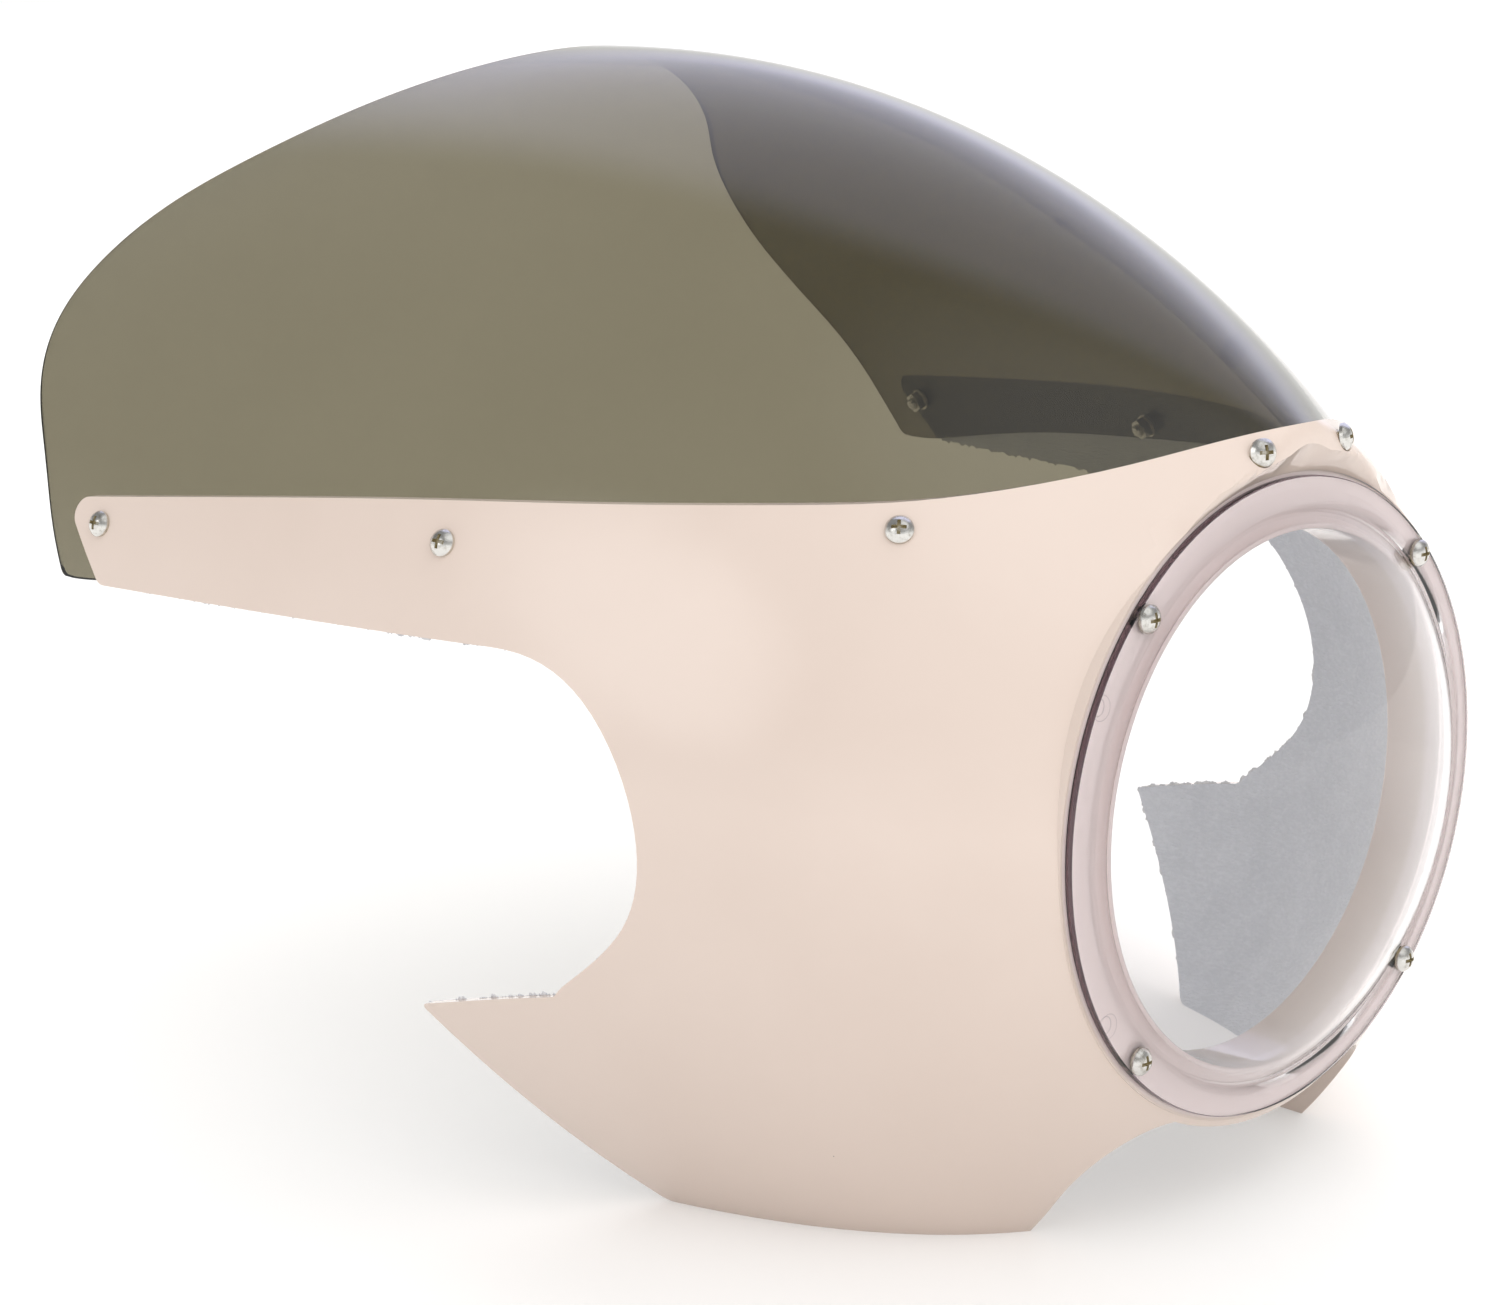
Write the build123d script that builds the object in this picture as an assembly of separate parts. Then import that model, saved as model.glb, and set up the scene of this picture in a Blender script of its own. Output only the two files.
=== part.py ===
"""Headlight cowl for a motorcycle: moulded shell, smoked bubble screen, clear lamp cover and their fasteners.

Millimetres, Z up. The origin is the centre of the lamp opening, in the plane the clear cover is seated on.
The lamp looks along -Y, the rider sits towards +Y, and the cowl is the same on both sides of X = 0.
"""
from build123d import *
import math
import os

os.makedirs("parts", exist_ok=True)

# Lamp opening and its ring
OPENING_R = 91.5
LIP_WALL = 3.5
LIP_FRONT = -1.0
LIP_BACK = 19.0
BEAD_RISE = 4.5
BEAD_R = 95.5
SEAT_R = 112.0
SEAT_WALL = 4.0
COLLAR_WALL = 2.5
COLLAR_BACK = 10.0

# Outer form: every frame across the cowl is a rounded arch, its half width, crown and keel grow with y
NOSE_R = 111.0
WIDTH_GAIN = 72.7
WIDTH_RUN = 71.2
WIDTH_FLARE = 0.146
CREST_Z = 247.1
CREST_Y = 333.8
CROWN_AT_SEAT = 134.8
CROWN_POWER = 2.17
KEEL_GAIN = 115.9
KEEL_RUN = 56.5
ARCH_POWER_NOSE = 1.55
ARCH_POWER_REAR = 2.0
ARCH_POWER_RUN = 153.0
BROW_Y = -9.5
BROW_ROUND = 11.0
REAR_Y = 480.0
FRAME_POINTS = 24

# Shell
SHELL_WALL = 4.0
FLOOR_Z = -146.0
WING_LOW_Z = 56.5
ARCH_HALF_WIDTH = 77.0
ARCH_TOP_Z = -103.7
ARCH_CORNER_R = 27.0
RETURN_DEPTH = 20.0
WING_CORNER_R = 6.0
HORN_TIP_R = 1.5
FOOT_CORNER_R = 8.0
LIP_ROUND = 0.8

# Screen
SCREEN_GAP = 0.3
SCREEN_WALL = 2.5
SCREEN_NOSE_R = 116.0
SCREEN_LOW_Z = 56.0
SCREEN_CORNER_R = 6.0

# Clear cover
COVER_R = 110.0
COVER_WALL = 2.5
COVER_FLANGE = 3.0
DOME_SPHERE_R = 160.0
DOME_APEX_Y = -37.5
COVER_SHOULDER_R = 2.0
COVER_RIM_ROUND = 0.6
COVER_SCREW_CIRCLE_R = 104.8
COVER_SCREW_ANGLES = (45.0, 135.0, 225.0, 315.0)

# M5 pan-head cross-recess screws with plain washers and hexagon nuts
SCREW_D = 5.0
HOLE_D = 5.6
HEAD_D = 9.5
HEAD_H = 3.5
HEAD_RIM = 1.1
RECESS_SPAN = 5.0
RECESS_SLOT = 1.2
RECESS_DEPTH = 1.9
WASHER_D = 10.0
WASHER_T = 1.0
NUT_AF = 8.0
NUT_H = 4.0
SCREW_TAIL = 2.0
SEAT_SLACK = 0.12
HEAD_SLACK = 0.25

# Side screws, each named by its height and its distance behind the seat; the brow screw by its height and x
SIDE_SCREWS = ((365.9, 77.7), (205.9, 87.4), (61.3, 100.9))
BROW_SCREW = (22.0, 121.5)
BROW_SCREW_LIFT = 0.25

# An inset surface is moved partly sideways and partly back, which keeps the wall near one thickness
INSET_SIDE = 0.93
INSET_BACK = 0.5


def half_width(y: float) -> float:
    """Half width of the cowl at the height of the lamp axis."""
    slope = WIDTH_GAIN / WIDTH_RUN + WIDTH_FLARE
    if y < 0:
        return NOSE_R + slope * y
    return NOSE_R + WIDTH_GAIN * (1 - math.exp(-y / WIDTH_RUN)) + WIDTH_FLARE * y


def crown(y: float) -> float:
    """Height of the middle line over the lamp axis, a power curve that peaks at the crest."""
    return CREST_Z - (CREST_Z - CROWN_AT_SEAT) * abs(1 - y / CREST_Y) ** CROWN_POWER


def keel(y: float) -> float:
    """Depth of the middle line under the lamp axis."""
    if y < 0:
        return NOSE_R + KEEL_GAIN / KEEL_RUN * y
    return NOSE_R + KEEL_GAIN * (1 - math.exp(-y / KEEL_RUN))


def arch_power(y: float) -> float:
    """Roundness of the arch over the lamp axis: pointed at the nose, an ellipse at the rear."""
    return ARCH_POWER_REAR - (ARCH_POWER_REAR - ARCH_POWER_NOSE) * math.exp(-max(y, 0.0) / ARCH_POWER_RUN)


def frame(y: float, inset: float) -> Face:
    """One closed frame across the cowl, started at the keel."""
    at = y - INSET_BACK * inset
    wide = half_width(at) - INSET_SIDE * inset
    up = crown(at) - INSET_SIDE * inset
    down = keel(at) - INSET_SIDE * inset
    points = []
    for k in range(FRAME_POINTS):
        angle = math.radians(-90.0 + 360.0 * k / FRAME_POINTS)
        c = math.cos(angle)
        s = math.sin(angle)
        power = 2.0 / arch_power(at) if s > 0 else 1.0
        x = wide * math.copysign(abs(c) ** power, c)
        z = (up if s > 0 else down) * math.copysign(abs(s) ** power, s)
        points.append((x, y, z))
    return Face(Wire([Edge.make_spline([Vector(*p) for p in points], periodic=True)]))


def body(inset: float) -> Part:
    """The solid inside the cowl's outer form, moved in by a distance and rounded at the brow."""
    front = BROW_Y + inset
    first = front - BROW_Y
    stations = [front]
    for step in (9, 20, 35, 54, 78, 110, 152, 206, 270, 340, 412):
        if step > first + 4:
            stations.append(BROW_Y + step)
    stations.append(REAR_Y)
    solid = loft([frame(y, inset) for y in stations])
    rounding = BROW_ROUND - inset
    if rounding > 1:
        solid = fillet(solid.faces().sort_by(Axis.Y)[0].edges(), rounding)
    return solid


def turned(outline) -> Part:
    """A profile, drawn as (radius, y), turned about the lamp axis."""
    return revolve(make_face(outline), Axis.Y)


def lamp_disc(radius: float, y0: float, y1: float) -> Part:
    """A disc on the lamp axis from y0 to y1."""
    return Pos(0, (y0 + y1) / 2, 0) * (Rot(90, 0, 0) * Cylinder(radius, abs(y1 - y0)))


def round_corner(solid: Part, corner: Vector, radius: float) -> Part:
    """Rounds the crosswise edge of an extruded side outline that is nearest to a corner, given as (y, z)."""
    edges = solid.edges().filter_by(Axis.X)
    nearest = min(edges, key=lambda e: math.hypot(e.center().Y - corner.X, e.center().Z - corner.Y))
    return fillet(nearest, radius)


def both_sides(shapes: list) -> list:
    """The shapes and their mirror images across X = 0."""
    return list(shapes) + [mirror(s, about=Plane.YZ) for s in shapes]


# Outer forms that the walls are made between
form = body(0)
shell_inside = body(SHELL_WALL)
screen_outside = body(SHELL_WALL + SCREEN_GAP)
screen_inside = body(SHELL_WALL + SCREEN_GAP + SCREEN_WALL)

# Shell: side outline with the wing, the handlebar cut-out, the horn and the foot
top_edge = Spline(
    (-20, 130.5), (-3, 127.6), (14, 120.8), (42, 112.6), (65, 109), (91, 107.4), (153, 104.2), (211, 100.9), (319, 91.9),
    (387, 85.4),
)
wing_end = Line(top_edge @ 1, (361, WING_LOW_Z))
wing_low = Line(wing_end @ 1, (178, WING_LOW_Z))
cut_out = Spline(
    wing_low @ 1, (146, 47.6), (122.6, 19.7), (116.4, -3), (123.8, -31.5), (151.5, -57.5), (217, -77),
    tangents=((-1, 0), (1, -0.27)),
)
horn_low = Line(cut_out @ 1, (148, FLOOR_Z))
foot = Line(horn_low @ 1, (-20, FLOOR_Z))
front_side = Line(foot @ 1, top_edge @ 0)
side = Plane.YZ * make_face(Curve() + [top_edge, wing_end, wing_low, cut_out, horn_low, foot, front_side])
side = extrude(side, amount=400, both=True)
side = round_corner(side, top_edge @ 1, WING_CORNER_R)
side = round_corner(side, wing_end @ 1, WING_CORNER_R)
side = round_corner(side, cut_out @ 1, HORN_TIP_R)
side = round_corner(side, horn_low @ 1, FOOT_CORNER_R)

arch_hole = Pos(0, 0, ARCH_TOP_Z - 100) * Box(2 * ARCH_HALF_WIDTH, 400, 200)
arch_hole = fillet(arch_hole.edges().filter_by(Axis.Y).group_by(Axis.Z)[-1], ARCH_CORNER_R)
arch_lip = Pos(0, 0, ARCH_TOP_Z - 100 + SHELL_WALL) * Box(2 * (ARCH_HALF_WIDTH + SHELL_WALL), 400, 200)
arch_lip = fillet(arch_lip.edges().filter_by(Axis.Y).group_by(Axis.Z)[-1], ARCH_CORNER_R + SHELL_WALL)
arch_return = (arch_lip - arch_hole) & (form - body(RETURN_DEPTH))

wall = form - shell_inside - arch_hole + arch_return
wall = wall - lamp_disc(SEAT_R, -40, 60)
collar_out = turned(Polyline(
    (SEAT_R - 0.5, BROW_Y - 10), (SEAT_R + COLLAR_WALL, BROW_Y - 10),
    (SEAT_R + COLLAR_WALL, COLLAR_BACK), (SEAT_R - 0.5, COLLAR_BACK), close=True,
)) & form
collar_out = collar_out - lamp_disc(SEAT_R, -40, 0)
bead = Spline(
    (OPENING_R, LIP_FRONT), (OPENING_R + 0.9, -BEAD_RISE + 0.6), (OPENING_R + 1.9, -BEAD_RISE + 0.9), (BEAD_R, 0),
    tangents=((0, -1), (1, 0.2)),
)
ring_back = Polyline(
    bead @ 1, (SEAT_R, 0), (SEAT_R, COLLAR_BACK), (SEAT_R - 1.5, COLLAR_BACK), (SEAT_R - 1.5, SEAT_WALL),
    (OPENING_R + LIP_WALL, SEAT_WALL), (OPENING_R + LIP_WALL, LIP_BACK), (OPENING_R, LIP_BACK), bead @ 0,
)
ring = revolve(make_face(Curve() + [bead, ring_back]), Axis.Y)
ring = fillet(ring.edges().filter_by(GeomType.CIRCLE).group_by(Axis.Y)[-1], LIP_ROUND)
shell = (wall + collar_out) & side
shell = shell + ring

# Screen: trimmed by its swept-back trailing edge and its lower edge behind the shell
trail = Spline(
    (386, SCREEN_LOW_Z), (396, 72), (406, 89), (415, 102), (426, 116), (436, 132), (440.5, 149), (436, 169), (420, 190),
    (396, 208), (366, 229), (330, 250),
)
screen_top = Polyline(trail @ 1, (330, 300), (-40, 300), (-40, 80), (20, 80))
screen_low = Spline(screen_top @ 1, (60, 78), (130, 67), (230, 60.5), (310, 57.5), trail @ 0, tangents=((1, 0), (1, 0)))
screen_side = Plane.YZ * make_face(Curve() + [trail, screen_top, screen_low])
screen_side = extrude(screen_side, amount=400, both=True)
screen_side = round_corner(screen_side, trail @ 0, SCREEN_CORNER_R)
screen = (screen_outside - screen_inside) & screen_side
screen = screen - lamp_disc(SCREEN_NOSE_R, -60, 460)

# Clear cover: a flat flange seated on the ring and a shallow dome whose two walls are concentric
apex_centre = DOME_APEX_Y + DOME_SPHERE_R
flange_front = -COVER_FLANGE
dome = Pos(0, apex_centre, 0) * Sphere(DOME_SPHERE_R)
hollow = Pos(0, apex_centre, 0) * Sphere(DOME_SPHERE_R - COVER_WALL)
front_space = lamp_disc(COVER_R, DOME_APEX_Y - 5, 0)
cover = lamp_disc(COVER_R, flange_front, 0) + (dome & front_space)
cover = cover - (hollow & lamp_disc(COVER_R, DOME_APEX_Y - 5, 1))
circles = cover.edges().filter_by(GeomType.CIRCLE)
cover = fillet([e for e in circles if e.radius < COVER_R - 1 and abs(e.arc_center.Y - flange_front) < 0.01], COVER_SHOULDER_R)
rim = [e for e in cover.edges().filter_by(GeomType.CIRCLE) if abs(e.radius - COVER_R) < 0.01]
cover = fillet(rim, COVER_RIM_ROUND)


def pan_screw(grip: float) -> Part:
    """A pan-head screw along +Z with its head's underside at the origin and its shank pointing down."""
    rim = Line((HEAD_D / 2, 0), (HEAD_D / 2, HEAD_RIM))
    top = ThreePointArc(rim @ 1, (HEAD_D * 0.3, HEAD_H * 0.83), (0, HEAD_H))
    rest = Polyline(
        top @ 1, (0, -grip), (SCREW_D / 2 - 0.6, -grip), (SCREW_D / 2, -grip + 0.6), (SCREW_D / 2, 0), rim @ 0,
    )
    solid = revolve(Plane.XZ * make_face(Curve() + [rim, top, rest]), Axis.Z)
    slot = Pos(0, 0, HEAD_H - RECESS_DEPTH + HEAD_H / 2) * Box(RECESS_SPAN, RECESS_SLOT, HEAD_H)
    return solid - slot - Rot(0, 0, 90) * slot


def washer() -> Part:
    """A plain washer under +Z, its face at the origin."""
    return Pos(0, 0, -WASHER_T / 2) * (Cylinder(WASHER_D / 2, WASHER_T) - Cylinder(HOLE_D / 2, WASHER_T + 2))


def nut() -> Part:
    """A hexagon nut under +Z, its face at the origin."""
    hexagon = RegularPolygon(NUT_AF / 2, 6, major_radius=False)
    solid = extrude(hexagon, amount=-NUT_H)
    return solid - Pos(0, 0, -NUT_H / 2) * Cylinder(SCREW_D / 2, NUT_H + 2)


def crossing(solid: Part, axis: Axis) -> tuple:
    """The first point where an axis meets a solid from outside, and the outward normal there."""
    hits = solid.find_intersection_points(axis)
    hits.sort(key=lambda hit: (hit[0] - axis.position).dot(axis.direction))
    return hits[0]


def seat_depth(solid: Part, place: Plane, radius: float) -> float:
    """How far under a plane a flat round washer of this radius comes to rest inside a hollow solid."""
    deepest = 0.0
    for k in range(8):
        turn = math.radians(45 * k)
        rim = place.from_local_coords(Vector(radius * math.cos(turn), radius * math.sin(turn), 20))
        hit, _ = crossing(solid, Axis(rim, -place.z_dir))
        deepest = max(deepest, -place.to_local_coords(hit).Z)
    return deepest


# Rows of screws through shell and screen
screws, washers, nuts, holes, seats = [], [], [], [], []
probes = [(Axis((500, y, z), (-1, 0, 0)), 1.0) for y, z in SIDE_SCREWS]
probes.append((Axis((BROW_SCREW[0], -200, BROW_SCREW[1]), (0, 1, 0)), BROW_SCREW_LIFT))
for probe, lift in probes:
    point, normal = crossing(form, probe)
    out = normal if normal.dot(probe.direction) < 0 else -normal
    out = Vector(out.X, out.Y, out.Z * lift).normalized()
    place = Plane(point, z_dir=out)
    depth = seat_depth(screen_inside, place, WASHER_D / 2) + SEAT_SLACK
    under = Plane(point - out * depth, z_dir=out)
    below = Plane(point - out * (depth + WASHER_T), z_dir=out)
    screws.append(place * pan_screw(depth + WASHER_T + NUT_H + SCREW_TAIL))
    washers.append(under * washer())
    nuts.append(below * nut())
    holes.append(place * Cylinder(HOLE_D / 2, 60))
    seats.append(place * Pos(0, 0, HEAD_H) * Cylinder(HEAD_D / 2 + HEAD_SLACK, 2 * HEAD_H))
holes = both_sides(holes)
seats = both_sides(seats)

# Four screws through the cover and the seat
cover_screws, cover_washers, cover_nuts, cover_holes = [], [], [], []
cover_grip = SEAT_WALL - flange_front + WASHER_T + NUT_H + SCREW_TAIL
for angle in COVER_SCREW_ANGLES:
    x = COVER_SCREW_CIRCLE_R * math.cos(math.radians(angle))
    z = COVER_SCREW_CIRCLE_R * math.sin(math.radians(angle))
    face = Plane((x, flange_front, z), x_dir=(1, 0, 0), z_dir=(0, -1, 0))
    back = Plane((x, SEAT_WALL, z), x_dir=(1, 0, 0), z_dir=(0, -1, 0))
    last = Plane((x, SEAT_WALL + WASHER_T, z), x_dir=(1, 0, 0), z_dir=(0, -1, 0))
    cover_screws.append(face * pan_screw(cover_grip))
    cover_washers.append(back * washer())
    cover_nuts.append(last * nut())
    cover_holes.append(face * Cylinder(HOLE_D / 2, 40))

shell = shell - [*holes, *seats, *cover_holes]
screen = screen - holes
cover = cover - cover_holes

nodes = {
    "fairing_shell": shell,
    "windscreen": screen,
    "headlight_cover": cover,
    "screen_screws": Compound(both_sides(screws)),
    "screen_washers": Compound(both_sides(washers)),
    "screen_nuts": Compound(both_sides(nuts)),
    "cover_screws": Compound(cover_screws),
    "cover_washers": Compound(cover_washers),
    "cover_nuts": Compound(cover_nuts),
}
for name, node in nodes.items():
    export_step(node, f"parts/{name}.step")
    box = node.bounding_box()
    print(name, len(node.solids()), round(node.volume), box.min, box.max)
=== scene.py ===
"""Looks of the headlight cowl: finishes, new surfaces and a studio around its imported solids.

The new surfaces are the shell with a flare round the lamp's seat, the smooth screen and cover, and
the frayed edges. Metres, Z up, in the frame of the solids: the lamp looks along -Y and the cowl is
the same on both sides of X = 0. Sizes of the new surfaces are in millimetres and become metres
when their mesh is made.
"""
import functools
import logging
import math
from dataclasses import dataclass
from enum import Enum

import bpy
import numpy as np
from mathutils import Matrix, Vector


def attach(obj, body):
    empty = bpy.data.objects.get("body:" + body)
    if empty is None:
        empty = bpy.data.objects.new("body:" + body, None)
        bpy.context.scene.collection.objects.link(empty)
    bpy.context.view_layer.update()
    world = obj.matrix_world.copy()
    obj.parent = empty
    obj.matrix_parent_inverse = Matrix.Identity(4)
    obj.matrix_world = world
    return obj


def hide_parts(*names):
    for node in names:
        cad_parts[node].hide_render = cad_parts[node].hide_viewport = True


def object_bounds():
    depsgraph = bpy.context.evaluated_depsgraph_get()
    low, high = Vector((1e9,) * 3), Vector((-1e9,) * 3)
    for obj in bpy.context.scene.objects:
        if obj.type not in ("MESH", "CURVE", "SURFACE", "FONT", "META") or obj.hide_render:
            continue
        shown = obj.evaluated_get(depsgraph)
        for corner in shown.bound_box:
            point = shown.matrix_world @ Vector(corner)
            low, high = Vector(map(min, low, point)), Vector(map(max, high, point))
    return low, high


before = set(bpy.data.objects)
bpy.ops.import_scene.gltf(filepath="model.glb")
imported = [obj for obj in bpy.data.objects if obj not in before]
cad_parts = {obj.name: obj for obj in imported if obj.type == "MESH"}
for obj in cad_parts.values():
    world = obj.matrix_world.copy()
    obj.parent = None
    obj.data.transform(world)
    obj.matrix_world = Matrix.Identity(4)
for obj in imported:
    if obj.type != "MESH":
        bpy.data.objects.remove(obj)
CAD_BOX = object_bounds()

LOG = logging.getLogger("headlight_cowl")
MM = 0.001
GELCOAT_IOR = 1.5
ACRYLIC_IOR = 1.49
SHARP_ANGLE = math.radians(40.0)
WHITE = (1.0, 1.0, 1.0)
GIVE_NUMBERS = ("DOT_PRODUCT", "LENGTH", "DISTANCE")

Colour = tuple[float, float, float]
Place = tuple[float, float, float]
Pair = tuple[float, float]
Knots = tuple[Pair, ...]
Steps = tuple[tuple[float, int], ...]
Array = np.ndarray
Socket = bpy.types.NodeSocket
Value = float | Socket


class Slot(Enum):
    """Material slots of the part's record."""

    GELCOAT = "gelcoat"
    SMOKED = "smoked_acrylic"
    CLEAR = "clear_acrylic"
    STEEL = "plated_steel"


class Graph:
    """A node tree with short ways to add nodes and join them."""

    def __init__(self, tree: bpy.types.NodeTree) -> None:
        """Takes the tree of a material or of the world and empties it."""
        self.tree = tree
        tree.nodes.clear()

    def add(self, kind: str, inputs: dict | None = None, **properties: object) -> bpy.types.Node:
        """Adds one node.

        Args:
            kind: Node type.
            inputs: Socket name or index to a value, or to a socket that feeds it.
            properties: Node properties to set.

        Returns:
            The new node.
        """
        node = self.tree.nodes.new(kind)
        for name, value in properties.items():
            setattr(node, name, value)
        for name, value in (inputs or {}).items():
            self.feed(node.inputs[name], value)
        return node

    def feed(self, socket: Socket, value: object) -> None:
        """Sets a socket's value, or links it where the value is a socket.

        Args:
            socket: Input socket.
            value: Number, colour, vector or output socket.
        """
        if isinstance(value, bpy.types.NodeSocket):
            self.tree.links.new(value, socket)
        elif socket.type == "RGBA" and len(value) == 3:
            socket.default_value = (*value, 1.0)
        else:
            socket.default_value = value

    def math(self, operation: str, a: Value, b: Value = 0.0, clamp: bool = False) -> Socket:
        """One step of arithmetic, held between 0 and 1 where clamp is True."""
        node = self.add("ShaderNodeMath", {0: a, 1: b}, operation=operation, use_clamp=clamp)
        return node.outputs[0]

    def vector(self, operation: str, a: object, b: object = (0.0, 0.0, 0.0)) -> Socket:
        """One step of vector arithmetic: a number where the operation gives one."""
        node = self.add("ShaderNodeVectorMath", {0: a, 1: b}, operation=operation)
        return node.outputs["Value" if operation in GIVE_NUMBERS else "Vector"]

    def scaled(self, vector: object, factor: Value) -> Socket:
        """A vector or colour times a number."""
        node = self.add("ShaderNodeVectorMath", {0: vector, "Scale": factor}, operation="SCALE")
        return node.outputs["Vector"]

    def step(
        self, value: Value, low: float, high: float, start: Value = 0.0, end: Value = 1.0
    ) -> Socket:
        """A smooth step from start to end while a value goes from low to high."""
        feeds = {"Value": value, "From Min": low, "From Max": high, "To Min": start, "To Max": end}
        return self.add("ShaderNodeMapRange", feeds, interpolation_type="SMOOTHSTEP").outputs[0]

    def mix(self, factor: Value, a: object, b: object) -> Socket:
        """A colour between two colours: a where the factor is 0, b where it is 1."""
        # The node's sockets 6 and 7 take colours, and 2 and 3 take numbers.
        node = self.add("ShaderNodeMix", {"Factor": factor, 6: a, 7: b}, data_type="RGBA")
        return node.outputs[2]

    def blend(self, factor: Value, a: Value, b: Value) -> Socket:
        """A number between two numbers: a where the factor is 0, b where it is 1."""
        node = self.add("ShaderNodeMix", {"Factor": factor, 2: a, 3: b}, data_type="FLOAT")
        return node.outputs[0]

    def joined(self, operation: str, parts: list[Socket]) -> Socket:
        """One number from several, joined in turn by an operation."""
        return functools.reduce(lambda a, b: self.math(operation, a, b), parts)

    def weighed(self, *parts: tuple[Socket, float]) -> Socket:
        """The sum of some fields, each times its weight."""
        return self.joined("ADD", [self.math("MULTIPLY", part, weight) for part, weight in parts])

    def noise(self, at: Socket, scale: float, detail: float = 2.0, fine: float = 0.5) -> Socket:
        """A noise field from 0 to 1: cells a metre, octaves and the weight of the finer ones."""
        feeds = {"Vector": at, "Scale": scale, "Detail": detail, "Roughness": fine}
        return self.add("ShaderNodeTexNoise", feeds).outputs[0]

    def drawn(self, at: Socket, turn: Place, scale: Place) -> Socket:
        """Coordinates turned by angles in degrees and stretched along the axes."""
        feeds = {"Vector": at, "Rotation": tuple(map(math.radians, turn)), "Scale": scale}
        return self.add("ShaderNodeMapping", feeds).outputs[0]

    def bump(self, height: Socket, distance: float) -> Socket:
        """The normal of a relief: a height field from 0 to 1 times a distance in metres."""
        return self.add("ShaderNodeBump", {"Height": height, "Distance": distance}).outputs[0]


class Paint(Graph):
    """Nodes of a material with one Principled shader, and the place on the cowl that they read."""

    def __init__(self, material: bpy.types.Material) -> None:
        """Joins a new shader to the material's output.

        Args:
            material: The material, whose nodes are replaced.
        """
        material.use_nodes = True
        super().__init__(material.node_tree)
        self.shader = self.add("ShaderNodeBsdfPrincipled")
        self.add("ShaderNodeOutputMaterial", {"Surface": self.shader.outputs[0]})
        self.place = self.add("ShaderNodeTexCoord").outputs["Object"]

    def put(self, sockets: dict[str, object]) -> None:
        """Sets or links the shader's sockets by their names."""
        for name, value in sockets.items():
            self.feed(self.shader.inputs[name], value)

    def radius(self) -> Socket:
        """Distance from the lamp axis, the length of (x, 0, z)."""
        return self.vector("LENGTH", self.vector("MULTIPLY", self.place, (1.0, 0.0, 1.0)))

    def behind(self) -> Socket:
        """Distance behind the plane of the seat, which is y."""
        return self.vector("DOT_PRODUCT", self.place, (0.0, 1.0, 0.0))


@dataclass(frozen=True)
class Mottle:
    """A noise field, and the low and high value between which it is spread out."""

    scale: float
    low: float
    high: float
    detail: float = 3.0

    def spread(self, graph: Graph, at: Socket, start: float = 0.0, end: float = 1.0) -> Socket:
        """The field at some coordinates, from start at its low value to end at its high one."""
        field = graph.noise(at, self.scale, self.detail)
        return graph.step(field, self.low, self.high, start, end)


@dataclass(frozen=True)
class Finish:
    """What all finishes share: a name and a slot of the record."""

    name: str
    slot: Slot

    def material(self) -> bpy.types.Material:
        """Makes the finish's material.

        Returns:
            The material, with its shader dressed.
        """
        made = bpy.data.materials.new(self.name)
        self.dress(Paint(made))
        return made

    def dress(self, paint: Paint) -> None:
        """Sets the shader's sockets, in each finish's own way."""
        raise NotImplementedError


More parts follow.
